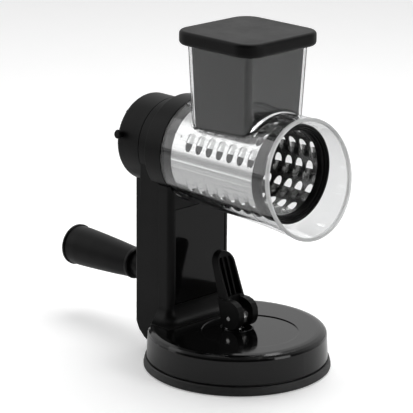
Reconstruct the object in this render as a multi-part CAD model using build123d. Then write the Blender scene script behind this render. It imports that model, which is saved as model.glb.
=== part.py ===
from build123d import *
import os
from math import sin, cos, asin, radians, degrees

# Rotary cabbage shredder. Millimetres, +Z up, origin at the centre of the foot's underside.
# The drum turns about an axis parallel to X, and its open mouth points to +X.

# ---------------------------------------------------------------- driving dimensions
# foot
LIP_R = 70.0              # rubber lip, the widest circle of the foot
SKIRT_R = 67.8            # bowl, at its lower edge
BOWL_R = 66.8             # bowl, below its rounded top edge
SKIRT_Z = 8.0             # lower edge of the bowl
BOWL_Z = 25.5             # where the rounded top edge starts
TOP_Z = 29.5              # top of the foot
FLAT_R = 59.5             # flat part of the top
BOWL_WALL = 2.8
DISH_X, DISH_R, DISH_DEEP = 13.0, 36.0, 0.6   # shallow round dish in the top
BOSS_R = 9.5              # guide boss of the suction stem
WEAR_R = 12.0             # wear plate under the cams
RING_INSET = 3.5          # clamp ring, inside the wall of the bowl
# column
COL_W = 62.6              # width, along Y
COL_REAR_LOW = -77.5      # rear face, low down
COL_REAR_TOP = -72.0      # rear face, at the head
COL_BEND_Z = 84.0         # height where the rear face starts to lean
COL_SEAM = -52.3          # seam between the rear and front mouldings
COL_FRONT = -39.6         # front face
COL_WALL = 2.8
FLARE_R = 11.0            # hollow curve from the column's faces to the foot
PLINTH = 0.5              # thin edge where the flare ends on the foot
EDGE_R = 4.4              # rounded front corners of the column
PANEL_HALF = 26.4         # half width of the glossy panel
PANEL_THICK = 2.0
# drum axis and head
AXIS_Z = 158.3
HEAD_R = 33.3             # round head, and the crank's hub behind it
HEAD_FRONT = -60.0
COLLAR_R = 38.6
COLLAR_FRONT = -43.9
BUSH_R, BUSH_LEN = 8.0, 5.5
LUG_N, LUG_TWIST = 3, 25.0
# clear housing
CONE_X0, CONE_R0 = -43.3, 38.3
CONE_X1, CONE_R1 = 46.0, 41.9
MOUTH_X, MOUTH_R, MOUTH_TILT = 69.0, 43.7, 9.8
MOUTH_DROP = 1.2
CLEAR_WALL = 2.0
CHUTE_X = 6.6             # centre of the chute
CHUTE_TOP_HALF = 32.2
CHUTE_LOW_Z, CHUTE_LOW_HALF = 172.0, 29.2
CHUTE_WALL = 2.4
CHUTE_CORNER = 6.5
# pusher
PUSH_GAP = 0.5            # clearance of the pusher in the chute, each side
CAP_HALF, CAP_CORNER = 39.3, 15.0
CAP_THICK = 10.5
CAP_TOP_Z = 256.0
# drum
DRUM_R, SHEET = 35.0, 0.6
SHEET_X0, SHEET_X1 = -37.5, 50.0
RING_X0, RING_X1, RING_R = 47.5, 56.0, 36.6
HUB_X0, HUB_X1, HUB_R = -42.6, -35.0, 35.4
SCOOP_PITCH, SCOOP_W, SCOOP_H = 10.33, 7.6, 1.8
SCOOPS = 7                # in a row
SCOOP_X0 = -19.0          # the first scoop of a row
ROWS = 13                 # places for rows around the sheet. The last one is left out for its joint
ROW_A0 = 23.0             # angle of the first row above the horizontal, on the -Y side
HOLE_LOW, HOLE_TOP = -5.6, 1.6    # lower and upper end of a hole, from the mouth of its hood
HOOD_LEAN = 19.5          # slope of the hood's back, in degrees
# crank
CRANK_X0, CRANK_X1 = -96.8, -72.6
ARM_HALF, ARM_THICK = 12.4, 10.5
GRIP_DROP = 104.8         # from the drum's axis down to the grip's
GRIP_X0, GRIP_X1 = -178.0, -111.0
GRIP_R0, GRIP_R1 = 16.2, 11.6
BUTTON_X, BUTTON_A = -91.0, 12.7     # hub button: place, and angle above the horizontal
BUTTON_TRAVEL = 2.0
# suction lever
PIN_X, PIN_Z = 0.0, 37.5
CAM_RISE, CAM_TURN = 4.0, 100.0
EAR_IN, EAR_OUT = 4.6, 10.2
LEVER_HALF = 9.0
PLATE_T = 1.5             # wear plate under the cams
# fits
FIT = 0.04                # shaft in its bearing, radial
GAP = 0.3                 # between pieces of different bodies
HEX_AF = 10.0             # hexagonal driver, across flats
SHAFT_R = 5.0
PIN_R = 2.0
STEM_R = 4.0
SCREW_R = 1.5             # shank of the common screw, and its pilot hole
CLEAR_R = 1.7             # clearance hole of the common screw

CHUTE_TOP_Z = CAP_TOP_Z - CAP_THICK - GAP

os.makedirs("parts", exist_ok=True)
NODES = {}


def keep(name, shape):
    NODES[name] = shape


def rod_x(x0, x1, r, y=0.0, z=AXIS_Z):
    return Pos(x0, y, z) * Rot(0, 90, 0) * Cylinder(r, x1 - x0, align=(Align.CENTER, Align.CENTER, Align.MIN))


def rod_z(z0, z1, r, x=0.0, y=0.0):
    return Pos(x, y, z0) * Cylinder(r, z1 - z0, align=(Align.CENTER, Align.CENTER, Align.MIN))


def rod_y(y0, y1, r, x, z):
    return Pos(x, y0, z) * Rot(-90, 0, 0) * Cylinder(r, y1 - y0, align=(Align.CENTER, Align.CENTER, Align.MIN))


def block(x0, x1, y0, y1, z0, z1):
    return Pos((x0 + x1) / 2, (y0 + y1) / 2, (z0 + z1) / 2) * Box(x1 - x0, y1 - y0, z1 - z0)


def turned_x(points, y=0.0, z=AXIS_Z):
    """Solid of revolution about a line parallel to X, from (x, radius) points."""
    face = make_face(Polyline([(px, y, z + pr) for px, pr in points], close=True))
    return revolve(face, Axis((0, y, z), (1, 0, 0)), 360)


def turned_z(points, x=0.0, y=0.0):
    """Solid of revolution about a vertical line, from (radius, z) points."""
    face = make_face(Polyline([(x + pr, y, pz) for pr, pz in points], close=True))
    return revolve(face, Axis((x, y, 0), (0, 0, 1)), 360)


def prism_y(points, y0, y1):
    """Prism along Y, from (x, z) points."""
    face = make_face(Polyline([(px, y0, pz) for px, pz in points], close=True))
    return extrude(face, amount=y1 - y0, dir=(0, 1, 0))


def hex_x(x0, x1, across, y=0.0, z=AXIS_Z):
    shape = extrude(RegularPolygon(across / 2, 6, major_radius=False), amount=x1 - x0)
    return Pos(x0, y, z) * Rot(0, 90, 0) * shape


def screw_z(z_head, length, x, y, head_r=3.0, head_h=2.0, shank_r=SCREW_R, up=True):
    """Screw along Z with a slotted cylinder head. z_head is the underside of its head."""
    s = 1 if up else -1
    head = rod_z(min(z_head, z_head - s * head_h), max(z_head, z_head - s * head_h), head_r, x, y)
    shank = rod_z(min(z_head, z_head + s * length), max(z_head, z_head + s * length), shank_r, x, y)
    slot = block(x - 2 * head_r, x + 2 * head_r, y - 0.4, y + 0.4, 0, 0.8)
    return head + shank - Pos(0, 0, z_head - s * head_h - (0 if up else 0.8)) * slot


def screw_x(x_head, length, y, z, head_r=3.0, head_h=2.0, shank_r=SCREW_R, s=1):
    """The same screw along X. s is the direction of its shank."""
    head = rod_x(min(x_head, x_head - s * head_h), max(x_head, x_head - s * head_h), head_r, y, z)
    shank = rod_x(min(x_head, x_head + s * length), max(x_head, x_head + s * length), shank_r, y, z)
    cut0 = x_head - s * head_h - (0 if s > 0 else 0.8)
    return head + shank - block(cut0, cut0 + 0.8, y - 0.4, y + 0.4, z - 2 * head_r, z + 2 * head_r)


# ---------------------------------------------------------------- foot
def bowl_envelope(grow=0.0):
    """Outer shape of the foot's bowl, closed below."""
    pts = [(0, SKIRT_Z - 0.5 * grow), (SKIRT_R + grow, SKIRT_Z - 0.5 * grow), (BOWL_R + grow, BOWL_Z)]
    n = 4
    for i in range(1, n + 1):
        a = radians(90.0 * i / n)
        pts.append((FLAT_R + (BOWL_R + grow - FLAT_R) * cos(a), BOWL_Z + (TOP_Z + grow - BOWL_Z) * sin(a)))
    pts.append((0, TOP_Z + grow))
    return turned_z(pts)


col_screw_spots = [(-46.5, -20.0), (-46.5, 20.0), (-56.0, 0.0)]
RING_R1 = SKIRT_R - BOWL_WALL - RING_INSET      # clamp ring, outer radius
SPOT_R = RING_R1 - 9.5
ring_screw_spots = [(SPOT_R * cos(radians(a)), SPOT_R * sin(radians(a))) for a in (45, 135, 225, 315)]

outer = bowl_envelope()
inner = turned_z([(0, SKIRT_Z - 1), (SKIRT_R - BOWL_WALL, SKIRT_Z - 1), (BOWL_R - BOWL_WALL, BOWL_Z - 1),
                  (FLAT_R - 1.5, TOP_Z - BOWL_WALL), (0, TOP_Z - BOWL_WALL)])
bowl = outer - inner
bowl += rod_z(19.5, TOP_Z - 1, BOSS_R)                               # guide boss of the stem
bowl += turned_z([(BOSS_R - 1, 22.0), (BOWL_R - 1.5, 22.0), (BOWL_R - 1.5, 27.0), (BOSS_R - 1, 27.0)]) & (
    block(-60, 60, -1.2, 1.2, 20, 28) + block(-1.2, 1.2, -60, 60, 20, 28))   # ribs
for sx, sy in ring_screw_spots:
    bowl += rod_z(13.5, TOP_Z - 1, 3.6, sx, sy)
bowl -= rod_z(0, 60, STEM_R + FIT)
for sx, sy in ring_screw_spots:
    bowl -= rod_z(10, 23.5, 1.2, sx, sy)
for sx, sy in col_screw_spots:
    bowl -= rod_z(10, 60, CLEAR_R, sx, sy) + rod_z(20, TOP_Z - BOWL_WALL, 3.4, sx, sy)
dish = rod_z(TOP_Z - DISH_DEEP, TOP_Z + 1, DISH_R, DISH_X)
bowl -= dish
bowl -= rod_z(TOP_Z - DISH_DEEP - 1.0, TOP_Z + 1, WEAR_R + 0.2, PIN_X)   # seat of the wear plate
keep("base_housing", bowl)

# rubber pad: thin dished skin with a thick outer lip and a middle boss for the stem's foot disc
pad = turned_z([(LIP_R - 1.2, 0), (LIP_R, 0.9), (LIP_R, 2.2), (LIP_R - 0.9, 6.0), (LIP_R - 1.6, 6.6),
                (66.0, 6.6), (65.6, SKIRT_Z), (60.0, SKIRT_Z), (59.0, 7.6), (24.0, 8.6), (18.2, 10.4),
                (18.2, 12.4), (15.3, 12.4), (15.3, 8.8), (0, 8.8), (0, 6.4), (40.0, 5.4), (57.0, 3.0), (61.0, 0)])
keep("suction_cup", pad)
ring = turned_z([(RING_R1 - 14, 8.9), (RING_R1 - 2.5, 8.4), (RING_R1, 8.4), (RING_R1, 13.4), (RING_R1 - 2, 13.4),
                 (RING_R1 - 2, 11.2), (RING_R1 - 14, 11.2)])
for sx, sy in ring_screw_spots:
    ring += rod_z(10.9, 13.5, 4.2, sx, sy)
for sx, sy in ring_screw_spots:
    ring -= rod_z(8, 14, 1.7, sx, sy)
    ring -= rod_z(8, 10.6, 3.3, sx, sy)
keep("cup_clamp_ring", ring)
screws = None
for sx, sy in ring_screw_spots:
    s = screw_z(10.6, 11.0, sx, sy, head_r=2.9, head_h=1.4, shank_r=1.2)
    screws = s if screws is None else screws + s
keep("cup_ring_screws", screws)
plate_z0 = TOP_Z - DISH_DEEP - 1.0
plate = rod_z(plate_z0, plate_z0 + PLATE_T, WEAR_R, PIN_X) - rod_z(0, 60, STEM_R + 0.5)
plate = chamfer(plate.edges().group_by(Axis.Z)[-1], 0.3)
keep("cam_wear_plate", plate)
WEAR_Z = plate_z0 + PLATE_T

# ---------------------------------------------------------------- column
half = COL_W / 2
COL_LEAN_Z = AXIS_Z - HEAD_R - 3.0      # the rear face has reached the head here, below the hub


def col_rear(inset):
    """Rear moulding: upright with a rounded back, and the round head."""
    w = half - inset
    p = [(COL_REAR_LOW + inset, SKIRT_Z - 2), (COL_REAR_LOW + inset, COL_BEND_Z),
         (COL_REAR_TOP + inset, COL_LEAN_Z), (COL_REAR_TOP + inset, AXIS_Z), (COL_SEAM, AXIS_Z),
         (COL_SEAM, SKIRT_Z - 2)]
    return prism_y(p, -w, w)


shell = col_rear(0.0)
shell = fillet(shell.edges().filter_by(Axis.Z).filter_by(lambda e: e.center().X < COL_REAR_LOW + 1), 2.2)
head = rod_x(COL_REAR_TOP, HEAD_FRONT, HEAD_R)
neck = turned_x([(HEAD_FRONT - 5.0, 0), (HEAD_FRONT - 5.0, HEAD_R - 1.0), (HEAD_FRONT - 2.4, HEAD_R + 2.2),
                 (HEAD_FRONT, COLLAR_R), (HEAD_FRONT, 0)])
shell = shell + head + neck - rod_x(HEAD_FRONT, -30, COLLAR_R + 0.02)
# the foot's rear wraps the bowl and tucks in below
wrap = turned_z([(0, SKIRT_Z + 0.4), (SKIRT_R + 1.2, SKIRT_Z + 0.4), (74.5, 11.5), (79.5, 16.5), (82.6, 23.0),
                 (84.0, 31.0), (84.0, 205.0), (0, 205.0)])
shell = shell & (wrap + block(-95, -20, -40, 40, 31, 205))
shell -= bowl_envelope(0.0)
hollow = prism_y([(COL_REAR_LOW + COL_WALL, TOP_Z + 3), (COL_REAR_LOW + COL_WALL, COL_BEND_Z),
                  (COL_REAR_TOP + COL_WALL, COL_LEAN_Z), (COL_REAR_TOP + COL_WALL, AXIS_Z - 24),
                  (COL_SEAM + 1, AXIS_Z - 24), (COL_SEAM + 1, TOP_Z + 3)], -half + COL_WALL, half - COL_WALL)
hollow -= rod_x(-90, -40, HEAD_R - 4)
hollow -= rod_z(20, 48, 6.0, col_screw_spots[2][0], 0)
shell -= hollow
shell -= rod_x(-80, -50, BUSH_R)
for a in (60, 180, 300):
    cy, cz = 27.0 * cos(radians(a)), 27.0 * sin(radians(a))
    shell -= rod_x(HEAD_FRONT - 8, HEAD_FRONT + 1, SCREW_R, cy, AXIS_Z + cz)
shell -= rod_z(20, 46, SCREW_R, col_screw_spots[2][0], 0)
cover_spots = [(-24.0, 52.0), (24.0, 52.0), (-24.0, 108.0), (24.0, 108.0)]
for cy, cz in cover_spots:
    shell += rod_x(COL_REAR_LOW, COL_SEAM, 4.2, cy, cz) & col_rear(0.5)
    shell -= rod_x(-80.0, -40, CLEAR_R, cy, cz)
    shell -= rod_x(-80.0, -70.0, 3.3, cy, cz)
keep("column_shell", shell)

# front moulding: frame with the saddle under the clear housing and the flared foot
front = block(COL_SEAM, COL_FRONT, -half, half, BOWL_Z, AXIS_Z)
front = fillet(front.edges().filter_by(Axis.Z).group_by(Axis.X)[-1], EDGE_R)
flare_top = TOP_Z + PLINTH
flare_out = half + FLARE_R + 1
front += block(COL_SEAM, COL_FRONT + FLARE_R + 1, -flare_out, flare_out, BOWL_Z, flare_top)
low = [e for e in front.edges() if abs(e.center().Z - flare_top) < 0.01 and abs(e.center().Y) < half + 0.1
       and COL_SEAM + 0.1 < e.center().X < COL_FRONT + 0.1]
front = fillet(low, FLARE_R)
# at the sides the flare runs out on the rounded edge of the foot
runout = turned_z([(0, BOWL_Z), (FLAT_R + 6.3, BOWL_Z), (FLAT_R + 5.6, TOP_Z - 1.4), (FLAT_R + 4.0, TOP_Z + 1.6),
                   (FLAT_R + 2.6, TOP_Z + 5.6), (FLAT_R + 1.8, TOP_Z + 12), (FLAT_R + 1.8, AXIS_Z), (0, AXIS_Z)])
front = front & (runout + block(COL_SEAM, COL_FRONT, -half, half, TOP_Z, AXIS_Z))
front -= bowl_envelope()
front -= rod_x(-60, -20, CONE_R0 + 0.9)       # saddle under the clear housing
cave = block(COL_SEAM - 1, COL_FRONT - COL_WALL - PANEL_THICK, -half + COL_WALL, half - COL_WALL,
             TOP_Z + 3.5, AXIS_Z - CONE_R0 - 6)
front -= cave
PANEL_Z0, PANEL_Z1 = TOP_Z + FLARE_R + 1.5, AXIS_Z - CONE_R0 - 3.2
recess = block(COL_FRONT - PANEL_THICK, COL_FRONT + 1, -PANEL_HALF, PANEL_HALF, PANEL_Z0, PANEL_Z1)
front -= recess
for sx, sy in col_screw_spots[:2]:
    front += rod_z(TOP_Z + 1, TOP_Z + 16, 4.5, sx, sy) & block(COL_SEAM, COL_FRONT - 1, -half, half, 0, 60)
    front -= rod_z(TOP_Z - 1, TOP_Z + 14, SCREW_R, sx, sy)
for cy, cz in cover_spots:
    front += rod_x(COL_SEAM, COL_FRONT - PANEL_THICK - 0.5, 4.2, cy, cz)
    front -= rod_x(COL_SEAM - 1, COL_FRONT - PANEL_THICK - 1.0, SCREW_R, cy, cz)
keep("column_front_cover", front)
panel = block(COL_FRONT - PANEL_THICK, COL_FRONT - 0.2, -PANEL_HALF + 0.15, PANEL_HALF - 0.15,
              PANEL_Z0 + 0.15, PANEL_Z1 - 0.15)
panel = chamfer(panel.faces().sort_by(Axis.X)[-1].edges(), 0.5)
keep("column_front_panel", panel)

screws = None
for sx, sy in col_screw_spots:
    s = screw_z(TOP_Z - BOWL_WALL, 15.5, sx, sy)
    screws = s if screws is None else screws + s
keep("column_screws", screws)
screws = None
for cy, cz in cover_spots:
    s = screw_x(-70.0, 27.0, cy, cz)
    screws = s if screws is None else screws + s
keep("cover_screws", screws)

# bayonet collar on the head
groove_x0, groove_x1 = -53.6, -49.4
collar = rod_x(HEAD_FRONT, COLLAR_FRONT, COLLAR_R) - rod_x(HEAD_FRONT + 3.0, COLLAR_FRONT + 1, 35.5)
collar -= rod_x(HEAD_FRONT - 1, COLLAR_FRONT, 16.0)
collar -= rod_x(groove_x0, groove_x1, 37.2)


def sector_x(x0, x1, r, a0, a1):
    """Wedge of a disc about the drum axis. Angles from -Y, upwards."""
    pts = [(0.0, 0.0)]
    n = max(2, int(abs(a1 - a0) / 10) + 1)
    for i in range(n + 1):
        a = radians(a0 + (a1 - a0) * i / n)
        pts.append((-1.3 * r * cos(a), 1.3 * r * sin(a)))
    face = make_face(Polyline([(x0, py, AXIS_Z + pz) for py, pz in pts], close=True))
    return extrude(face, amount=x1 - x0, dir=(1, 0, 0)) & rod_x(x0, x1, r)


LUG_HALF = 9.0            # half the angle that a lug takes
lug_angles = [70.0 + 120.0 * i for i in range(LUG_N)]
for a in lug_angles:
    collar -= sector_x(groove_x0 + 0.1, COLLAR_FRONT + 1, 37.2, a + LUG_TWIST - LUG_HALF - 1.5,
                       a + LUG_TWIST + LUG_HALF + 1.5)
for a in (60, 180, 300):
    cy, cz = 27.0 * cos(radians(a)), 27.0 * sin(radians(a))
    collar -= rod_x(HEAD_FRONT - 1, HEAD_FRONT + 4, CLEAR_R, cy, AXIS_Z + cz)
keep("head_collar", collar)
screws = None
for a in (60, 180, 300):
    cy, cz = 27.0 * cos(radians(a)), 27.0 * sin(radians(a))
    s = screw_x(HEAD_FRONT + 3.0, 9.5, cy, AXIS_Z + cz, s=-1)
    screws = s if screws is None else screws + s
keep("collar_screws", screws)
rear_bush = rod_x(COL_REAR_TOP, COL_REAR_TOP + BUSH_LEN, BUSH_R)
rear_bush -= rod_x(COL_REAR_TOP - 1, COL_REAR_TOP + BUSH_LEN + 1, SHAFT_R + FIT)
keep("shaft_bush_rear", rear_bush)
front_bush = rod_x(HEAD_FRONT - BUSH_LEN, HEAD_FRONT, BUSH_R) + rod_x(HEAD_FRONT, HEAD_FRONT + 1.5, 11.0)
front_bush -= rod_x(HEAD_FRONT - BUSH_LEN - 1, HEAD_FRONT + 3, SHAFT_R + FIT)
keep("shaft_bush_front", front_bush)

# ---------------------------------------------------------------- suction stem
CAM_LOW = PIN_Z - WEAR_Z - GAP
EYE_R, EYE_HALF = CAM_LOW - 0.1, EAR_IN - GAP
stem = rod_z(9.4, PIN_Z, STEM_R) + rod_y(-EYE_HALF, EYE_HALF, EYE_R, PIN_X, PIN_Z)
stem -= rod_y(-20, 20, PIN_R + 0.005, PIN_X, PIN_Z)
keep("suction_stem", stem)
disc = rod_z(9.1, 11.9, 15.0) - rod_z(9.4, 15, STEM_R)
keep("stem_foot_plate", disc)
nut = extrude(RegularPolygon(6.0, 6, major_radius=False), amount=2.8)
nut = Pos(0, 0, 11.9) * nut - rod_z(9, 20, STEM_R)
keep("stem_nut", nut)
# return spring: one unbroken wire of square section
SPRING_R, WIRE = 12.0, 1.1
z0, z1 = 11.9 + WIRE / 2 + 0.02, 22.0 - WIRE / 2 - 0.02
coil = Helix(pitch=(z1 - z0) / 2.5, height=z1 - z0, radius=SPRING_R, center=(0, 0, z0))
spring = sweep(Plane(coil @ 0, z_dir=coil % 0) * Rectangle(WIRE * 0.8, WIRE * 0.8), path=coil)
keep("suction_spring", spring)

# ---------------------------------------------------------------- suction lever
cam_rate = CAM_RISE / radians(CAM_TURN)      # lift for each radian, which makes the cam an involute
cam = []
n = 14
for i in range(n + 1):
    t = radians(CAM_TURN) * i / n
    h = CAM_LOW + cam_rate * t
    cam.append((PIN_X + h * sin(t) + cam_rate * cos(t), PIN_Z - h * cos(t) + cam_rate * sin(t)))
heel_r = CAM_LOW - 0.1
heel = [(PIN_X - heel_r * sin(radians(a)), PIN_Z - heel_r * cos(radians(a))) for a in (75, 60, 45, 30, 15, 0)]
last = cam[-1]
ear_profile = heel + cam + [(last[0] - 0.4, last[1] + 3.0), (last[0] - 2.4, last[1] + 6.4), (5.6, 50.2),
                            (2.0, 51.2), (-11.0, 51.2), (-8.9, 42.0)]
ears = prism_y(ear_profile, -EAR_OUT, EAR_OUT)
ARM_TOP = 84.6
arm_profile = [(-9.2, 43.0), (-13.6, 60.0), (-20.6, ARM_TOP), (-15.6, ARM_TOP), (-1.6, 50.4), (2.0, 47.5)]
arm = prism_y(arm_profile, -LEVER_HALF, LEVER_HALF)
tip = rod_x(-40, 20, LEVER_HALF, 0, ARM_TOP - LEVER_HALF)
arm = arm & (tip + block(-40, 20, -LEVER_HALF, LEVER_HALF, 30, ARM_TOP - LEVER_HALF))
inner_half = LEVER_HALF - 1.8
channel = prism_y([(-8.7, 53.0), (-16.6, 80.6), (-6.0, 80.6), (4.0, 53.0)], -inner_half, inner_half)
channel = channel & (rod_x(-40, 20, inner_half, 0, ARM_TOP - 1.8 - inner_half)
                     + block(-40, 20, -9, 9, 30, ARM_TOP - 1.8 - inner_half))
rib_keep = prism_y([(-8.7, 53.0), (-16.9, 81.6), (-14.6, 81.6), (-4.4, 53.0)], -9, 9)
for cy in (-2.5, 2.5):
    channel -= block(-40, 20, cy - 0.6, cy + 0.6, 30, 90) & rib_keep
lever = arm + ears - channel
lever -= block(-30, 30, -EAR_IN, EAR_IN, 20, PIN_Z + CAM_LOW + 1.4)
lever -= block(-3.0, 30, -EAR_IN, EAR_IN, 20, 60)                    # the ears stand apart in front of the arm
lever -= rod_y(-20, 20, PIN_R + FIT, PIN_X, PIN_Z)
keep("suction_lever", lever)
pin = rod_y(-EAR_OUT + 0.1, EAR_OUT - 0.1, PIN_R, PIN_X, PIN_Z)
pin = chamfer(pin.edges().filter_by(GeomType.CIRCLE), 0.4)
keep("lever_pin", pin)

# ---------------------------------------------------------------- crank
DRIVER_X0 = HEAD_FRONT + 1.8
FLAT_Z = 4.0              # flat of the shaft, from its middle
shaft = rod_x(-93.0, DRIVER_X0, SHAFT_R) + hex_x(DRIVER_X0, -39.0, HEX_AF)
shaft -= rod_x(-95, -82, 1.6)
shaft -= block(-100, -76.0, -10, 10, AXIS_Z + FLAT_Z, AXIS_Z + 10)
keep("drive_shaft", shaft)
washer = rod_x(-74.9, -72.1, 9.0) - rod_x(-80, -60, SHAFT_R + 0.005)
keep("thrust_washer", washer)
hub = rod_x(CRANK_X0, CRANK_X1, HEAD_R)
hub = fillet(hub.edges().filter_by(GeomType.CIRCLE).sort_by(Axis.X)[0:1], 4.0)
hub -= rod_x(CRANK_X0 + 2.6, CRANK_X1 + 1, HEAD_R - 2.4)
arm_x1 = CRANK_X0 + ARM_THICK
arm = block(CRANK_X0, arm_x1, -ARM_HALF, ARM_HALF, AXIS_Z - GRIP_DROP, AXIS_Z - 12)
arm += rod_x(CRANK_X0, arm_x1, ARM_HALF, 0, AXIS_Z - GRIP_DROP)
arm = fillet(arm.edges().group_by(Axis.X)[0] + arm.edges().group_by(Axis.X)[-1], 1.2)
hub += arm
hub += rod_x(CRANK_X0 + 1, -76.0, 10.5)
for a in (45, 135, 225, 315):
    rib = block(CRANK_X0 + 1, -78.5, -1.0, 1.0, 9, HEAD_R - 1)
    hub += Pos(0, 0, AXIS_Z) * Rot(a, 0, 0) * rib
d_bore = rod_x(-93.0, -60, SHAFT_R + 0.005) - block(-100, -60, -10, 10, AXIS_Z + FLAT_Z + 0.005, AXIS_Z + 10)
hub -= d_bore
hub -= rod_x(-100, -90, 1.9)
hub -= rod_x(-100, CRANK_X0 + 2.2, 4.2)
radial = Pos(0, 0, AXIS_Z) * Rot(-BUTTON_A, 0, 0)


def radial_rod(r, d0, d1):
    """Rod along the button's axis, between two distances from the drum axis."""
    return radial * Pos(BUTTON_X, -d0, 0) * Rot(90, 0, 0) * Cylinder(
        r, d1 - d0, align=(Align.CENTER, Align.CENTER, Align.MIN))


hub += radial_rod(4.8, 21.0, 31.8)
hub -= radial_rod(2.5 + FIT, 26.0, 40.0)
hub -= radial_rod(3.3, 22.4, 30.2)
keep("crank_arm", hub)
button = radial_rod(2.5, 29.4, 36.4) + radial_rod(3.1, 28.4, 29.8)
button += chamfer(radial_rod(3.4, 36.2, 38.4).edges().filter_by(GeomType.CIRCLE).sort_by(Axis.Y)[0:1], 0.8)
keep("hub_button", button)
# the spring has its pressed length, so that the button can travel down to it
z0, z1 = 22.4, 28.4 - BUTTON_TRAVEL - GAP
b_wire = 0.5
coil = Helix(pitch=(z1 - z0 - b_wire) / 3, height=z1 - z0 - b_wire, radius=2.4, center=(0, 0, 0))
b_spring = sweep(Plane(coil @ 0, z_dir=coil % 0) * Rectangle(b_wire * 0.8, b_wire * 0.8), path=coil)
b_spring = radial * Pos(BUTTON_X, -z0 - b_wire / 2, 0) * Rot(90, 0, 0) * b_spring
keep("button_spring", b_spring)
hub_disc = rod_x(-75.4, CRANK_X1 - 0.1, HEAD_R - 2.5) - rod_x(-80, -70, 10.6)
hub_disc -= rod_x(-73.6, -70, HEAD_R - 4.5) - rod_x(-80, -60, 13.0)
keep("hub_disc", hub_disc)
screw = screw_x(CRANK_X0 + 2.2, 11.5, 0, AXIS_Z, head_r=3.9, head_h=2.0, shank_r=1.6)
keep("crank_screw", screw)
GRIP_Z = AXIS_Z - GRIP_DROP
SPINDLE_R = 4.0
spindle = rod_x(CRANK_X0 + 2.0, arm_x1 + 0.8, 3.0, 0, GRIP_Z)
spindle += rod_x(GRIP_X0 + 8, CRANK_X0 + 2.0, SPINDLE_R, 0, GRIP_Z)
spindle += rod_x(arm_x1, arm_x1 + 1.2, 4.6, 0, GRIP_Z)
spindle += rod_x(GRIP_X0 + 6.2, GRIP_X0 + 8, 6.5, 0, GRIP_Z)
crank = NODES["crank_arm"] - rod_x(CRANK_X0 - 1, CRANK_X0 + 2.0, SPINDLE_R + 0.005, 0, GRIP_Z)
crank -= rod_x(CRANK_X0 - 1, arm_x1 + 1, 3.005, 0, GRIP_Z)
keep("crank_arm", crank)
keep("grip_spindle", spindle)

# ---------------------------------------------------------------- grip
grip_pts = [(GRIP_X0 + 3.0, 0), (GRIP_X0 + 3.0, GRIP_R0 - 0.9), (GRIP_X0 + 12, GRIP_R0 - 1.0),
            (GRIP_X0 + 30, GRIP_R0 - 1.9), (GRIP_X0 + 50, GRIP_R0 - 3.2), (GRIP_X1, GRIP_R1), (GRIP_X1, 0)]
grip = turned_x(grip_pts, z=GRIP_Z)
grip -= rod_x(GRIP_X0 + 8.2, GRIP_X1 + 1, SPINDLE_R + FIT, 0, GRIP_Z)
grip -= rod_x(GRIP_X0, GRIP_X0 + 8.3, 7.5, 0, GRIP_Z)
keep("grip", grip)
collar_pts = [(GRIP_X1, SPINDLE_R + FIT), (GRIP_X1, GRIP_R1 + 0.5), (GRIP_X1 + 2.2, GRIP_R1 + 0.7),
              (GRIP_X1 + 3.4, GRIP_R1 + 0.1), (GRIP_X1 + 3.8, 9.0), (CRANK_X0 - GAP, 8.5),
              (CRANK_X0 - GAP, SPINDLE_R + FIT)]
keep("grip_collar", turned_x(collar_pts, z=GRIP_Z))
end_pts = [(GRIP_X0 + 0.9, 0), (GRIP_X0 + 0.9, GRIP_R0 - 3.4), (GRIP_X0, GRIP_R0 - 2.6), (GRIP_X0, GRIP_R0 - 1.2),
           (GRIP_X0 + 0.8, GRIP_R0 - 0.2), (GRIP_X0 + 2.2, GRIP_R0), (GRIP_X0 + 3.0, GRIP_R0 - 0.4),
           (GRIP_X0 + 3.0, 7.3), (GRIP_X0 + 5.4, 7.3), (GRIP_X0 + 5.4, 5.5), (GRIP_X0 + 2.4, 5.5),
           (GRIP_X0 + 2.4, 0)]
keep("grip_end_cap", turned_x(end_pts, z=GRIP_Z))

# ---------------------------------------------------------------- drum
def about_axis(angle, shape):
    """Turn a shape built on the -Y side of the drum up by an angle about the drum's axis."""
    return Pos(0, 0, AXIS_Z) * Rot(-angle, 0, 0) * shape


# The sheet is a ring of flat facets, three to each row of scoops. A scoop's hole lies inside one facet,
# and its hood leans over the next two.
ROW_STEP = 360.0 / ROWS
hole_facet = [degrees(asin((HOLE_LOW - 0.25) / DRUM_R)), degrees(asin((HOLE_TOP + 0.25) / DRUM_R))]
FACET_EDGES = hole_facet + [(hole_facet[0] + ROW_STEP + hole_facet[1]) / 2]
WIDE_COS = cos(radians((hole_facet[1] - hole_facet[0]) / 2))
SHEET_BORE_R = DRUM_R - SHEET / WIDE_COS              # inner corners of the facets
SHEET_FLAT_R = DRUM_R * WIDE_COS - SHEET              # the least radius inside the sheet


def facet_ring(r, first, last):
    """Corners (y, z) of a faceted arc on the -Y side, from the start of one row to the start of another."""
    angles = [edge + ROW_STEP * row for row in range(first, last) for edge in FACET_EDGES]
    angles.append(FACET_EDGES[0] + ROW_STEP * last)
    return [(-r * cos(radians(a)), r * sin(radians(a))) for a in angles]


def prism_x(corners, x0, x1):
    """Prism along X, from (y, z) points."""
    face = make_face(Polyline([(x0, cy, cz) for cy, cz in corners], close=True))
    return extrude(face, amount=x1 - x0, dir=(1, 0, 0))


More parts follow.
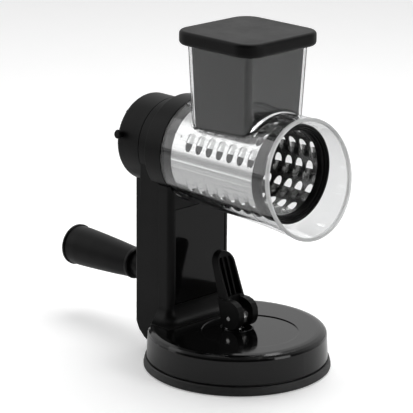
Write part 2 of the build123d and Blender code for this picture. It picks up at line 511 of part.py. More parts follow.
# one scoop, built at y = -DRUM_R with z = 0 at the mouth of its hood and the hood above
HOLE = [(-3.1, -2.4), (-2.4, HOLE_TOP), (2.4, HOLE_TOP), (3.1, -2.4), (1.6, HOLE_LOW), (-1.6, HOLE_LOW)]
hole_face = make_face(Polyline([(hx, -DRUM_R - 3, hz) for hx, hz in HOLE], close=True))
hole_cut = extrude(hole_face, amount=6, dir=(0, 1, 0))
bow_half = SCOOP_W / 2
bow_in = bow_half - SHEET
bow = [(1, 0), (0.91, -0.58), (0.42, -1), (-0.42, -1), (-0.91, -0.58), (-1, 0)]
bow = [(bow_half * bx, bow_half * by) for bx, by in bow]
hollow_bow = [(bow_in * bx, bow_in * by) for bx, by in ((-1, 0), (-0.6, -1), (0.6, -1), (1, 0))]
tube_face = make_face(Polyline([(bx, by, -5) for bx, by in bow + hollow_bow], close=True))
tube = extrude(tube_face, amount=25, dir=(0, 0, 1))
hood = Pos(0, -DRUM_R - SCOOP_H + bow_half, 0) * Rot(-HOOD_LEAN, 0, 0) * tube
hood = hood & block(-5, 5, -DRUM_R - 4, -DRUM_R + 3, 0.0, 12)
hood -= prism_x([(0, 0)] + facet_ring(DRUM_R - 0.25, -1, 2), -15, 15)


def sheet_sector(shift, scoops):
    """One row's share of the sheet, with or without its scoops."""
    sector = prism_x(facet_ring(DRUM_R, 0, 1) + facet_ring(SHEET_BORE_R, 0, 1)[::-1], SHEET_X0, SHEET_X1)
    if scoops:
        places = [SCOOP_X0 + shift + SCOOP_PITCH * i for i in range(SCOOPS)]
        sector = sector - [Pos(x, 0, 0) * hole_cut for x in places]
        sector = sector + [Pos(x, 0, 0) * hood for x in places]
    return sector


row_kinds = [sheet_sector(-SCOOP_PITCH / 2, True), sheet_sector(0.0, True)]
# the joint of the rolled sheet, with a shallow ridge at each side
joint_row = sheet_sector(0.0, False)
for off in (-4.0, 4.0):
    joint_row += Rot(-off, 0, 0) * block(SHEET_X0 + 3.0, RING_X0, -DRUM_R - 0.12, -DRUM_R + 0.3, -0.5, 0.5)
# the rows alternate by half a pitch, apart from the first one beside the joint
sectors = [about_axis(ROW_A0, row_kinds[1])]
for row in range(1, ROWS):
    sectors.append(about_axis(ROW_A0 + ROW_STEP * row, joint_row if row == ROWS - 1 else row_kinds[row % 2]))
sheet = sectors[0].fuse(*sectors[1:])
keep("drum_sheet", sheet)

front_ring = turned_x([(RING_X0, DRUM_R + 0.02), (RING_X0, RING_R - 0.5), (RING_X0 + 0.8, RING_R),
                       (RING_X1 - 1.0, RING_R), (RING_X1, RING_R - 0.8), (RING_X1, RING_R - 2.2),
                       (RING_X1 - 1.4, RING_R - 2.6), (RING_X1 - 1.4, 33.2), (RING_X1 - 3.0, 32.8),
                       (RING_X1 - 3.0, 31.8), (RING_X1 - 4.2, 31.2), (RING_X0 + 0.6, 31.2), (RING_X0 + 0.6, 32.6),
                       (SHEET_X1 - 1.2, SHEET_FLAT_R - 0.02), (SHEET_X1, SHEET_FLAT_R - 0.02),
                       (SHEET_X1, DRUM_R + 0.02)])
keep("drum_front_ring", front_ring)
# rear disc with the groove for the sheet and the boss with the hexagonal socket
rear = turned_x([(HUB_X0, 0), (HUB_X0, HUB_R - 0.6), (HUB_X0 + 0.6, HUB_R), (HUB_X1 - 0.3, HUB_R),
                 (HUB_X1, HUB_R - 0.3), (HUB_X1, DRUM_R + 0.02), (SHEET_X0, DRUM_R + 0.02),
                 (SHEET_X0, SHEET_FLAT_R - 0.02), (HUB_X1, SHEET_FLAT_R - 0.02), (HUB_X1, 32.0),
                 (HUB_X1 - 3.5, 31.0), (HUB_X1 - 4.5, 12.0), (HUB_X1 + 2.0, 9.0), (HUB_X1 + 2.0, 0)])
rear += rod_x(HEAD_FRONT + 2.0, HUB_X0, 9.0)
for a in range(0, 360, 60):
    rib = block(HUB_X0 - 3.0, HUB_X0 + 0.5, -1.0, 1.0, 8.0, 30.0)
    rear += Pos(0, 0, AXIS_Z) * Rot(a, 0, 0) * rib
rear -= hex_x(HEAD_FRONT + 1.0, -38.0, HEX_AF + 2 * FIT)
keep("drum_rear_hub", rear)

# ---------------------------------------------------------------- clear housing
def cone_r(x, wall=0.0):
    """Outer radius of the clear cone at x, less a wall."""
    return CONE_R0 + (CONE_R1 - CONE_R0) * (x - CONE_X0) / (CONE_X1 - CONE_X0) - wall


def round_face(x, r, tilt=0.0, drop=0.0):
    return Pos(x, 0, AXIS_Z - drop) * Rot(0, 90 - tilt, 0) * Circle(r)


def funnel(wall):
    """Cone and flared mouth, closed at both ends."""
    cone = turned_x([(CONE_X0, 0), (CONE_X0, cone_r(CONE_X0, wall)), (CONE_X1, CONE_R1 - wall), (CONE_X1, 0)])
    mouth = loft([round_face(CONE_X1, CONE_R1 - wall),
                  round_face(MOUTH_X, MOUTH_R - wall + 0.25, MOUTH_TILT, MOUTH_DROP)], ruled=True)
    return cone + mouth


def chute_solid(wall, z0, z1):
    """Tapered square shaft of the chute."""
    def half(z):
        f = (z - CHUTE_LOW_Z) / (CHUTE_TOP_Z - CHUTE_LOW_Z)
        return CHUTE_LOW_HALF + (CHUTE_TOP_HALF - CHUTE_LOW_HALF) * f - wall
    r = max(CHUTE_CORNER - wall, 1.5)
    sections = [Pos(CHUTE_X, 0, z) * RectangleRounded(2 * half(z), 2 * half(z), r) for z in (z0, z1)]
    return loft(sections, ruled=True)


body = funnel(0.0) + chute_solid(0.0, CHUTE_LOW_Z, CHUTE_TOP_Z)
joint = [e for e in body.edges() if e.geom_type not in (GeomType.LINE, GeomType.CIRCLE)
         and AXIS_Z + 20 < e.center().Z < AXIS_Z + 46 and abs(e.center().X - CHUTE_X) < 34
         and e.bounding_box().max.Z < AXIS_Z + 46]
body = fillet(joint, 2.5)
body -= funnel(CLEAR_WALL)
tail = loft([round_face(MOUTH_X - 0.01, MOUTH_R - CLEAR_WALL + 0.25, MOUTH_TILT, MOUTH_DROP),
             Pos(4 * cos(radians(MOUTH_TILT)), 0, 4 * sin(radians(MOUTH_TILT)))
             * round_face(MOUTH_X, MOUTH_R - CLEAR_WALL + 0.5, MOUTH_TILT, MOUTH_DROP)])
body -= tail
body -= chute_solid(CHUTE_WALL, AXIS_Z + 4, CHUTE_TOP_Z)
body -= rod_z(CHUTE_TOP_Z - 0.001, CHUTE_TOP_Z + 5, 60)
bead = Pos(MOUTH_X, 0, AXIS_Z - MOUTH_DROP) * Rot(0, 90 - MOUTH_TILT, 0) * Torus(MOUTH_R - 0.9, 1.35)
body += bead
# spigot and its three bayonet lugs
SPIGOT_R = 35.2
STEP_X = CONE_X0 + 0.3            # front of the step inside the spigot, clear of the drum's rear disc
body += turned_x([(-54.0, SPIGOT_R - 1.8), (-54.0, SPIGOT_R - 0.5), (-53.5, SPIGOT_R), (CONE_X0 - 0.6, SPIGOT_R),
                  (CONE_X0, SPIGOT_R), (CONE_X0, CONE_R0 - 0.3), (CONE_X0 + 1.2, CONE_R0 - 0.3),
                  (CONE_X0 + 1.2, HUB_R + 0.7), (STEP_X, HUB_R + 0.7), (STEP_X, SPIGOT_R - 1.8)])
lug_ring = rod_x(groove_x0 + GAP, groove_x1 - GAP, 36.9) - rod_x(-60, -40, SPIGOT_R - 0.5)
for a in lug_angles:
    body += lug_ring & sector_x(groove_x0, groove_x1, 36.9, a - LUG_HALF, a + LUG_HALF)
# finger lugs on the outside near the rear rim
for a in (70.0, 30.0, 110.0):
    body += about_axis(a, Pos(CONE_X0 + 6.5, -cone_r(CONE_X0 + 6) - 0.4, 0) * Box(9.0, 2.2, 2.4))
keep("clear_housing", body)

# ---------------------------------------------------------------- pusher
push_z0 = AXIS_Z + 18.0
solid = chute_solid(CHUTE_WALL + PUSH_GAP, push_z0, CAP_TOP_Z - 9.8)
cavity = chute_solid(CHUTE_WALL + PUSH_GAP + 2.4, push_z0, CAP_TOP_Z - 9.0)
cavity -= rod_x(-60, 80, DRUM_R + SCOOP_H + 3.6)
pusher = solid - cavity - rod_x(-60, 80, DRUM_R + SCOOP_H + 0.8)
keep("pusher_body", pusher)
cap_z0 = CHUTE_TOP_Z + GAP
cap = extrude(RectangleRounded(2 * CAP_HALF, 2 * CAP_HALF, CAP_CORNER), amount=CAP_THICK)
cap = Pos(CHUTE_X, 0, cap_z0) * cap
cap = fillet(cap.edges().group_by(Axis.Z)[-1], 2.6)
cap = fillet(cap.edges().group_by(Axis.Z)[0], 3.0)
cap -= solid
keep("pusher_cap", cap)

# ---------------------------------------------------------------- files
for name, shape in NODES.items():
    if isinstance(shape, (list, ShapeList)):
        shape = Compound(children=list(shape))
    shape.label = name
    export_step(shape, "parts/" + name + ".step")
print(len(NODES), "pieces written")
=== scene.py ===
import math
import bmesh
import bpy
from mathutils import Matrix, Vector


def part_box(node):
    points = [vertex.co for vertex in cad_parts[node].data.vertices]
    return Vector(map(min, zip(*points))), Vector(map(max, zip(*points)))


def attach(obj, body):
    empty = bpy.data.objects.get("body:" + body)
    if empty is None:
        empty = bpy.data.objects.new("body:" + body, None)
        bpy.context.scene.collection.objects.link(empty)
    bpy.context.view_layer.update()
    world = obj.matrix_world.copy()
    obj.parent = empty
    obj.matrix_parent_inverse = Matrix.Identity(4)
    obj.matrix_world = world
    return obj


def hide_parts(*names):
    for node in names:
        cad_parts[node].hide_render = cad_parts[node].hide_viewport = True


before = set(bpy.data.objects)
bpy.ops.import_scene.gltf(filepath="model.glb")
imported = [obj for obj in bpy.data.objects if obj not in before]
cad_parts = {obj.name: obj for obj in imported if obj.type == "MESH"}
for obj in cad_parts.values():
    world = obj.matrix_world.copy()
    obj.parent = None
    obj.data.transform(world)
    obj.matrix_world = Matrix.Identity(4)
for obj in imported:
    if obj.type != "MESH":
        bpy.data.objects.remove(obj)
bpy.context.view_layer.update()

# A rotary drum shredder in a plain pale studio. Metres, in the row frame: +X along the drum's axis
# to the open mouth, +Z up, and the camera on the -Y side.
scene = bpy.context.scene
AXIS_Z = 0.1583                            # height of the drum's axis
MOUTH_MIDDLE = (0.0690, 0.0, AXIS_Z - 0.0012)
MOUTH_TILT = math.radians(9.8)             # lean of the clear cone's open end
BEAD_START, BEAD_FULL = -0.0022, -0.0012   # where the mouth's bead begins, measured across its plane
BEAD_CLEAR = 0.45                          # how clear the bead is, where 1 is the wall
CAMERA_AZIMUTH = math.radians(44.64)
CAMERA_HEIGHT, CAMERA_ROLL = math.radians(16.57), math.radians(0.51)
CAMERA_DISTANCE, LOOK_AT = 1.78052, (-0.03349, 0.0, 0.11526)
FOCAL_PIXELS, FRAME_PIXELS = 2392.84, 413.0
SENSOR_MM = 36.0
FLOOR_R, FLOOR_SEGMENTS, FLOOR_Z = 3.0, 64, -0.0003


# ---------------------------------------------------------------- materials
def new_material(name):
    mat = bpy.data.materials.new(name)
    mat.use_nodes = True
    tree = mat.node_tree
    return mat, tree, tree.nodes["Principled BSDF"]


def place(tree):
    """Object coordinates, which are metres in the row frame at rest."""
    return tree.nodes.new("ShaderNodeTexCoord").outputs["Object"]


def stretched(tree, scale):
    """Object coordinates, scaled differently along X, Y and Z."""
    mapping = tree.nodes.new("ShaderNodeMapping")
    mapping.inputs["Scale"].default_value = scale
    tree.links.new(place(tree), mapping.inputs["Vector"])
    return mapping.outputs["Vector"]


def noise(tree, scale, detail=3.0, rough=0.5, vector=None):
    """Soft noise from 0 to 1."""
    node = tree.nodes.new("ShaderNodeTexNoise")
    node.inputs["Scale"].default_value = scale
    node.inputs["Detail"].default_value = detail
    node.inputs["Roughness"].default_value = rough
    tree.links.new(vector or place(tree), node.inputs["Vector"])
    return node.outputs["Fac"]


def ramp(tree, fac, stops):
    """Colour or grey value by the factor. A stop is its place and a grey or an (r, g, b)."""
    node = tree.nodes.new("ShaderNodeValToRGB")
    elements = node.color_ramp.elements
    while len(elements) < len(stops):
        elements.new(0.5)
    for element, (at, value) in zip(elements, stops):
        colour = value if isinstance(value, tuple) else (value,) * 3
        element.position = at
        element.color = (*colour, 1.0)
    tree.links.new(fac, node.inputs["Fac"])
    return node.outputs["Color"]


def bump(tree, height, strength, distance, below=None):
    """Normal bent by the height, on top of the normal below."""
    node = tree.nodes.new("ShaderNodeBump")
    node.inputs["Strength"].default_value = strength
    node.inputs["Distance"].default_value = distance
    tree.links.new(height, node.inputs["Height"])
    if below is not None:
        tree.links.new(below, node.inputs["Normal"])
    return node.outputs["Normal"]


def soft_edges(tree, radius=0.0005):
    """Normal that rounds the sharp edges of a moulding a little."""
    node = tree.nodes.new("ShaderNodeBevel")
    node.samples = 4
    node.inputs["Radius"].default_value = radius
    return node.outputs["Normal"]


def black_plastic(name, dark, light, rough_low, rough_high, specular, grain=2600.0, depth=0.00002,
                  strength=0.25):
    """Moulded black plastic with a fine grain, slight mottling and slightly varied gloss."""
    mat, tree, shader = new_material(name)
    mottle = noise(tree, 90.0, 4.0)
    colour = ramp(tree, mottle, [(0.3, dark), (0.75, (light, light, light * 1.03))])
    tree.links.new(colour, shader.inputs["Base Color"])
    wear = noise(tree, 38.0, 5.0, 0.6)
    tree.links.new(ramp(tree, wear, [(0.3, rough_low), (0.75, rough_high)]), shader.inputs["Roughness"])
    normal = bump(tree, noise(tree, grain, 2.0), strength, depth, soft_edges(tree))
    tree.links.new(normal, shader.inputs["Normal"])
    shader.inputs["IOR"].default_value = 1.47
    shader.inputs["Specular IOR Level"].default_value = specular
    return mat


# name, dark and light colour, low and high roughness, specular level, and for some the grain's
# scale, depth and strength
satin = black_plastic("satin_black_plastic", 0.0024, 0.0040, 0.34, 0.42, 0.14)
textured = black_plastic("grained_black_plastic", 0.0026, 0.0046, 0.40, 0.50, 0.15, 3200.0, 0.00003, 0.30)
gloss = black_plastic("gloss_black_plastic", 0.0020, 0.0035, 0.08, 0.12, 0.36, 700.0, 0.000004, 0.06)
panel_gloss = black_plastic("panel_black_plastic", 0.0025, 0.0040, 0.06, 0.10, 0.20, 700.0, 0.000004, 0.06)
pusher_black = black_plastic("dark_grey_plastic", 0.0035, 0.0050, 0.36, 0.44, 0.16, 1600.0, 0.000005, 0.06)


def rubber():
    """Dull black rubber with a fine uneven surface."""
    mat, tree, shader = new_material("black_rubber")
    tree.links.new(ramp(tree, noise(tree, 220.0, 5.0), [(0.3, 0.010), (0.8, 0.018)]),
                   shader.inputs["Base Color"])
    tree.links.new(ramp(tree, noise(tree, 60.0, 4.0), [(0.3, 0.50), (0.8, 0.64)]),
                   shader.inputs["Roughness"])
    tree.links.new(bump(tree, noise(tree, 1800.0, 3.0), 0.4, 0.00004), shader.inputs["Normal"])
    return mat


def steel(name, low, high, rough, scale, streak=0.12):
    """Steel with fine drawn lines and soft streaks. The scale's smallest number is along the lines."""
    mat, tree, shader = new_material(name)
    lines = noise(tree, 1.0, 3.0, 0.6, stretched(tree, scale))
    tree.links.new(ramp(tree, lines, [(0.25, low), (0.8, (high, high, high * 0.99))]),
                   shader.inputs["Base Color"])
    streaks = noise(tree, 1.0, 4.0, 0.6, stretched(tree, tuple(0.3 * s for s in scale)))
    tree.links.new(ramp(tree, streaks, [(0.3, rough), (0.8, rough + streak)]), shader.inputs["Roughness"])
    tree.links.new(bump(tree, lines, 0.08, 0.00002), shader.inputs["Normal"])
    shader.inputs["Metallic"].default_value = 1.0
    return mat


# name, low and high brightness, lowest roughness, scale along X, Y and Z
drum_steel = steel("drum_sheet_steel", 0.50, 0.66, 0.17, (14.0, 900.0, 900.0))
bright_steel = steel("bright_steel", 0.60, 0.76, 0.18, (300.0, 300.0, 1400.0))
plain_steel = steel("plain_steel", 0.42, 0.56, 0.28, (900.0, 900.0, 900.0))


def bronze():
    """Porous sintered bronze of the bushes."""
    mat, tree, shader = new_material("sintered_bronze")
    grains = noise(tree, 1500.0, 4.0)
    tree.links.new(ramp(tree, grains, [(0.3, (0.30, 0.19, 0.09)), (0.75, (0.48, 0.33, 0.17))]),
                   shader.inputs["Base Color"])
    tree.links.new(bump(tree, noise(tree, 2600.0, 3.0), 0.3, 0.00003), shader.inputs["Normal"])
    shader.inputs["Metallic"].default_value = 1.0
    shader.inputs["Roughness"].default_value = 0.42
    return mat


def white_plastic():
    """Slippery white plastic of the thrust washer."""
    mat, tree, shader = new_material("white_bearing_plastic")
    mottle = noise(tree, 160.0, 3.0)
    tree.links.new(ramp(tree, mottle, [(0.3, (0.62, 0.62, 0.60)), (0.8, (0.74, 0.74, 0.72))]),
                   shader.inputs["Base Color"])
    tree.links.new(bump(tree, noise(tree, 1500.0, 2.0), 0.2, 0.00002), shader.inputs["Normal"])
    shader.inputs["Roughness"].default_value = 0.45
    return mat


def clear_plastic():
    """Clear moulded plastic, a little cloudy in places, with faint flow marks and a pale mouth bead."""
    mat, tree, shader = new_material("clear_moulded_plastic")
    tint = ramp(tree, noise(tree, 25.0, 3.0), [(0.3, (0.955, 0.962, 0.965)), (0.8, (0.985, 0.988, 0.990))])
    tree.links.new(tint, shader.inputs["Base Color"])
    flow = noise(tree, 1.0, 4.0, 0.55, stretched(tree, (40.0, 160.0, 160.0)))
    tree.links.new(ramp(tree, flow, [(0.35, 0.012), (0.8, 0.035)]), shader.inputs["Roughness"])
    tree.links.new(bump(tree, noise(tree, 55.0, 2.0), 0.05, 0.0002), shader.inputs["Normal"])
    # The bead of the mouth is thick and scatters light, so it reads as a soft pale grey band.
    # The distance across the mouth's leaning plane picks it out.
    offset = tree.nodes.new("ShaderNodeVectorMath")
    offset.operation = "SUBTRACT"
    offset.inputs[1].default_value = MOUTH_MIDDLE
    tree.links.new(place(tree), offset.inputs[0])
    along = tree.nodes.new("ShaderNodeVectorMath")
    along.operation = "DOT_PRODUCT"
    along.inputs[1].default_value = (math.cos(MOUTH_TILT), 0.0, math.sin(MOUTH_TILT))
    tree.links.new(offset.outputs["Vector"], along.inputs[0])
    clear = tree.nodes.new("ShaderNodeMapRange")
    clear.inputs["From Min"].default_value = BEAD_START
    clear.inputs["From Max"].default_value = BEAD_FULL
    clear.inputs["To Min"].default_value = 1.0
    clear.inputs["To Max"].default_value = BEAD_CLEAR
    tree.links.new(along.outputs["Value"], clear.inputs["Value"])
    tree.links.new(clear.outputs["Result"], shader.inputs["Transmission Weight"])
    shader.inputs["IOR"].default_value = 1.46
    return mat


rubber_mat, bronze_mat, white_mat, clear_mat = rubber(), bronze(), white_plastic(), clear_plastic()

# the material of every node, by groups
FINISH_GROUPS = {
    gloss: ["base_housing", "cam_wear_plate"],
    panel_gloss: ["column_front_panel"],
    satin: ["cup_clamp_ring", "column_shell", "column_front_cover", "head_collar", "hub_button",
            "grip_collar", "drum_front_ring", "drum_rear_hub"],
    textured: ["suction_lever", "crank_arm", "hub_disc", "grip", "grip_end_cap", "pusher_cap"],
    pusher_black: ["pusher_body"],
    rubber_mat: ["suction_cup"],
    plain_steel: ["cup_ring_screws", "column_screws", "cover_screws", "collar_screws", "crank_screw",
                  "stem_foot_plate", "stem_nut", "suction_spring", "button_spring", "drive_shaft"],
    bright_steel: ["suction_stem", "lever_pin", "grip_spindle"],
    drum_steel: ["drum_sheet"],
    bronze_mat: ["shaft_bush_rear", "shaft_bush_front"],
    white_mat: ["thrust_washer"],
    clear_mat: ["clear_housing"],
}
FINISH = {name: mat for mat, names in FINISH_GROUPS.items() for name in names}


def smooth(obj, angle=32.0):
    """Smooth shading with sharp edges kept, by a modifier, so the mesh itself stays as it is."""
    mesh = obj.data
    mesh.polygons.foreach_set("use_smooth", [True] * len(mesh.polygons))
    split = obj.modifiers.new("edges", type="EDGE_SPLIT")
    split.split_angle = math.radians(angle)
    split.use_edge_sharp = False


for name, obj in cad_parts.items():
    obj.data.materials.clear()
    obj.data.materials.append(FINISH[name])
    smooth(obj)

# ---------------------------------------------------------------- drum sheet
DRUM_R, SHEET = 0.035, 0.0006
ROWS, ROW_A0 = 13, 23.6                    # places for rows, and the angle of the first one above -Y
ROW_STEP = 360.0 / ROWS
PITCH, SCOOPS, SCOOP_X0 = 0.01033, 7, -0.0190
MOUTH_HALF, HOLE_DEEP = 0.0034, 0.0064     # half width of a hood's mouth, and the hole below it
HOOD_H, HOOD_LONG = 0.00178, 0.0078        # height of a hood at its mouth, and its length
HOOD_NARROW = 0.3                          # share of its width that a hood loses towards its upper end
LATTICE_STEPS = 8
LATTICE = PITCH / LATTICE_STEPS            # spacing of the points along the lines between two rows
CELL_LOW = -0.0070                         # lower end of a row's share of the sheet, from its mouths
CELL_TOP = math.radians(ROW_STEP) * DRUM_R + CELL_LOW
LOW_STEPS = [CELL_LOW * t / 4 for t in range(4, -1, -1)]
HOOD_STEPS = [HOOD_LONG * t for t in (0.0, 0.1, 0.23, 0.38, 0.54, 0.70, 0.86, 1.0)]
HOOD_ACROSS = (-1.0, -0.82, -0.42, 0.0, 0.42, 0.82, 1.0)
HOLE_RINGS = (1.0, 0.55, 0.2, 0.0)         # from the border of a cell to the edge of its hole
RIDGES, RIDGE_H = (-0.0024, 0.0024), 0.00025     # two pressed lines along the sheet's joint
JOINT_STEPS = [CELL_LOW, -0.0045, -0.0030, -0.0024, -0.0018, 0.0, 0.0018, 0.0024, 0.0030, 0.0050, 0.0075,
               CELL_TOP]
EDGE_ROOM = 0.0004                         # no lattice line is nearer than this to the sheet's ends


def hood_half(v):
    """Half width of a hood at v up from its mouth."""
    return MOUTH_HALF * (1.0 - HOOD_NARROW * (min(v, HOOD_LONG) / HOOD_LONG) ** 2)


def hood_height(u, v):
    """Height of the pressed hood over the sheet at u along the drum and v up from its mouth."""
    if v < 0.0 or v > HOOD_LONG:
        return 0.0
    half = hood_half(v)
    if abs(u) >= half:
        return 0.0
    fall = 1.0 - v / HOOD_LONG
    return HOOD_H * fall * (1.0 + 0.55 * (1.0 - fall)) * (1.0 - (u / half) ** 2) ** 0.62


def drum_sheet():
    """The punched steel sheet: rows of rounded holes, each below a pressed hood."""
    bm = bmesh.new()
    low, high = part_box("drum_sheet")
    sheet_x0, sheet_x1 = low[0], high[0]
    first = SCOOP_X0 - PITCH / 2
    lines = [first + LATTICE * i for i in range(-20, 90)]
    lines = [x for x in lines if sheet_x0 + EDGE_ROOM < x < sheet_x1 - EDGE_ROOM]
    lines = [sheet_x0] + lines + [sheet_x1]

    def vert(x, v, row, up=0.0):
        angle = math.radians(ROW_A0 + ROW_STEP * row) + v / DRUM_R
        r = DRUM_R + up
        return bm.verts.new((x, -r * math.cos(angle), AXIS_Z + r * math.sin(angle)))

    def quads(grid):
        for low, high in zip(grid, grid[1:]):
            for i in range(len(low) - 1):
                bm.faces.new((low[i], high[i], high[i + 1], low[i + 1]))

    def hooded(x0, row):
        """The part of a scoop's cell above the mouth."""
        grid = []
        for v in HOOD_STEPS + [CELL_TOP]:
            t = max(0.0, (v - HOOD_LONG) / (CELL_TOP - HOOD_LONG))
            middle = len(HOOD_ACROSS) // 2
            us = [(1 - t) * hood_half(v) * a + t * LATTICE * (i - middle) for i, a in enumerate(HOOD_ACROSS)]
            us = [-PITCH / 2] + us + [PITCH / 2]
            grid.append([vert(x0 + u, v, row, hood_height(u, v)) for u in us])
        quads(grid)

    def holed(x0, row):
        """The part of a scoop's cell below the mouth, with its rounded hole."""
        border = [(-PITCH / 2, v) for v in LOW_STEPS[:0:-1]]
        border += [(-PITCH / 2 + LATTICE * i, CELL_LOW) for i in range(LATTICE_STEPS + 1)]
        border += [(PITCH / 2, v) for v in LOW_STEPS[1:]]
        last = len(border) - 1
        hole = []
        for i in range(last + 1):
            a = math.pi * (1 + i / last)
            hole.append((MOUTH_HALF * math.copysign(abs(math.cos(a)) ** 0.85, math.cos(a)),
                         HOLE_DEEP * 0.97 * -abs(math.sin(a)) ** 0.9))
        quads([[vert(x0 + h[0] + (b[0] - h[0]) * t, h[1] + (b[1] - h[1]) * t, row)
                for h, b in zip(hole, border)] for t in HOLE_RINGS])

    def plain(xs, row, steps, ridges=()):
        """A stretch without scoops. ridges are the places of low pressed lines."""
        quads([[vert(x, v, row, RIDGE_H if v in ridges else 0.0) for x in xs] for v in steps])

    for row in range(ROWS - 1):
        shift = 0.0 if row % 2 or row == 0 else -PITCH / 2
        left, right = first + shift, first + shift + PITCH * SCOOPS
        for i in range(SCOOPS):
            hooded(SCOOP_X0 + shift + PITCH * i, row)
            holed(SCOOP_X0 + shift + PITCH * i, row)
        for xs in ([x for x in lines if x < left + 1e-6], [x for x in lines if x > right - 1e-6]):
            plain(xs, row, LOW_STEPS + HOOD_STEPS[1:] + [CELL_TOP])
    plain(lines, ROWS - 1, JOINT_STEPS, RIDGES)
    bmesh.ops.remove_doubles(bm, verts=bm.verts, dist=0.00002)
    bmesh.ops.recalc_face_normals(bm, faces=bm.faces)
    mesh = bpy.data.meshes.new("drum_sheet_pressed")
    bm.to_mesh(mesh)
    bm.free()
    obj = bpy.data.objects.new("drum_sheet_pressed", mesh)
    scene.collection.objects.link(obj)
    mesh.materials.append(drum_steel)
    wall = obj.modifiers.new("wall", type="SOLIDIFY")
    wall.thickness = SHEET
    wall.offset = -1.0
    smooth(obj, 38.0)
    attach(obj, "drum")
    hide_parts("drum_sheet")


drum_sheet()

# ---------------------------------------------------------------- studio
def floor_paper():
    """Pale paper that keeps the shadow and is lifted towards white only where the camera sees it."""
    mat, tree, shader = new_material("floor_paper")
    mottle = noise(tree, 30.0, 3.0)
    tree.links.new(ramp(tree, mottle, [(0.3, 0.90), (0.8, 0.92)]), shader.inputs["Base Color"])
    shader.inputs["Roughness"].default_value = 0.85
    shader.inputs["Specular IOR Level"].default_value = 0.1
    glow = tree.nodes.new("ShaderNodeEmission")
    glow.inputs["Color"].default_value = (1.0, 1.0, 1.0, 1.0)
    glow.inputs["Strength"].default_value = 0.30
    lifted = tree.nodes.new("ShaderNodeAddShader")
    tree.links.new(shader.outputs[0], lifted.inputs[0])
    tree.links.new(glow.outputs[0], lifted.inputs[1])
    path = tree.nodes.new("ShaderNodeLightPath")
    mix = tree.nodes.new("ShaderNodeMixShader")
    tree.links.new(path.outputs["Is Camera Ray"], mix.inputs["Fac"])
    tree.links.new(shader.outputs[0], mix.inputs[1])
    tree.links.new(lifted.outputs[0], mix.inputs[2])
    tree.links.new(mix.outputs[0], tree.nodes["Material Output"].inputs["Surface"])
    return mat


def round_floor():
    """A flat round floor just below the foot."""
    turns = [2 * math.pi * i / FLOOR_SEGMENTS for i in range(FLOOR_SEGMENTS)]
    verts = [(0, 0, FLOOR_Z)] + [(FLOOR_R * math.cos(a), FLOOR_R * math.sin(a), FLOOR_Z) for a in turns]
    faces = [(0, 1 + i, 1 + (i + 1) % FLOOR_SEGMENTS) for i in range(FLOOR_SEGMENTS)]
    mesh = bpy.data.meshes.new("floor")
    mesh.from_pydata(verts, [], faces)
    mesh.materials.append(floor_paper())
    floor = bpy.data.objects.new("floor", mesh)
    scene.collection.objects.link(floor)


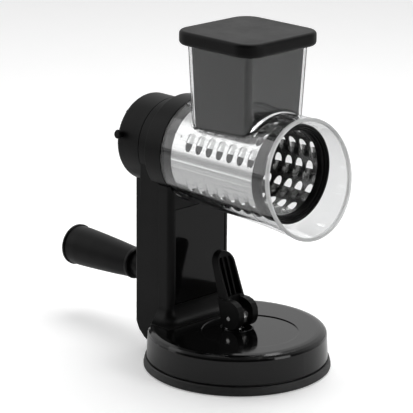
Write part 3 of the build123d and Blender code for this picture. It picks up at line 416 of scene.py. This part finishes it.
def studio_world():
    """White where it is seen directly or through the clear plastic. As light it is bright on the side
    behind the object and dim on the side in front of it."""
    world = bpy.data.worlds.new("studio")
    scene.world = world
    world.use_nodes = True
    tree = world.node_tree
    background = tree.nodes["Background"]
    background.inputs["Color"].default_value = (1.0, 1.0, 1.0, 1.0)
    direction = tree.nodes.new("ShaderNodeTexCoord")
    along = tree.nodes.new("ShaderNodeVectorMath")
    along.operation = "DOT_PRODUCT"
    along.inputs[1].default_value = (-math.sin(CAMERA_AZIMUTH), math.cos(CAMERA_AZIMUTH), 0.0)
    tree.links.new(direction.outputs["Generated"], along.inputs[0])
    spread = tree.nodes.new("ShaderNodeMapRange")
    for socket, value in (("From Min", -0.35), ("From Max", 0.55), ("To Min", 0.05), ("To Max", 0.85)):
        spread.inputs[socket].default_value = value
    tree.links.new(along.outputs["Value"], spread.inputs["Value"])
    path = tree.nodes.new("ShaderNodeLightPath")
    seen = tree.nodes.new("ShaderNodeMath")
    seen.operation = "MAXIMUM"
    tree.links.new(path.outputs["Is Camera Ray"], seen.inputs[0])
    tree.links.new(path.outputs["Is Transmission Ray"], seen.inputs[1])
    pick = tree.nodes.new("ShaderNodeMix")
    pick.data_type = "FLOAT"
    tree.links.new(seen.outputs[0], pick.inputs["Factor"])
    tree.links.new(spread.outputs["Result"], pick.inputs["A"])
    pick.inputs["B"].default_value = 1.0
    tree.links.new(pick.outputs["Result"], background.inputs["Strength"])


def lamp(name, spot, aim, size_x, size_y, power):
    """A soft rectangular lamp at spot, turned to aim."""
    data = bpy.data.lights.new(name, "AREA")
    data.shape = "RECTANGLE"
    data.size, data.size_y = size_x, size_y
    data.energy = power
    obj = bpy.data.objects.new(name, data)
    scene.collection.objects.link(obj)
    obj.location = spot
    obj.rotation_euler = (Vector(aim) - Vector(spot)).to_track_quat("-Z", "Y").to_euler()


round_floor()
studio_world()
lamp("top_soft", (-0.15, 0.35, 1.25), (0, 0, 0.12), 0.9, 0.9, 8.0)
lamp("left_soft", (-1.05, -0.75, 0.75), (-0.05, 0, 0.14), 0.9, 1.2, 3.4)
lamp("right_soft", (1.15, 0.25, 0.7), (0, 0, 0.14), 0.5, 0.9, 5.0)


# ---------------------------------------------------------------- camera
def add_camera():
    """The camera that was solved from the picture: its direction, roll, distance and focal length."""
    level, rise = math.cos(CAMERA_HEIGHT), math.sin(CAMERA_HEIGHT)
    right = Vector((math.cos(CAMERA_AZIMUTH), math.sin(CAMERA_AZIMUTH), 0.0))
    back = Vector((right.y * level, -right.x * level, rise))
    up = back.cross(right)
    turn, tip = math.cos(CAMERA_ROLL), math.sin(CAMERA_ROLL)
    right, up = right * turn + up * tip, up * turn - right * tip
    data = bpy.data.cameras.new("camera")
    data.sensor_width = SENSOR_MM
    data.lens = FOCAL_PIXELS / FRAME_PIXELS * SENSOR_MM
    data.clip_start, data.clip_end = 0.05, 20.0
    camera = bpy.data.objects.new("camera", data)
    scene.collection.objects.link(camera)
    spot = Vector(LOOK_AT) + back * CAMERA_DISTANCE
    camera.matrix_world = Matrix(((right.x, up.x, back.x, spot.x), (right.y, up.y, back.y, spot.y),
                                  (right.z, up.z, back.z, spot.z), (0, 0, 0, 1)))
    scene.camera = camera


add_camera()
scene.view_settings.view_transform = "Standard"
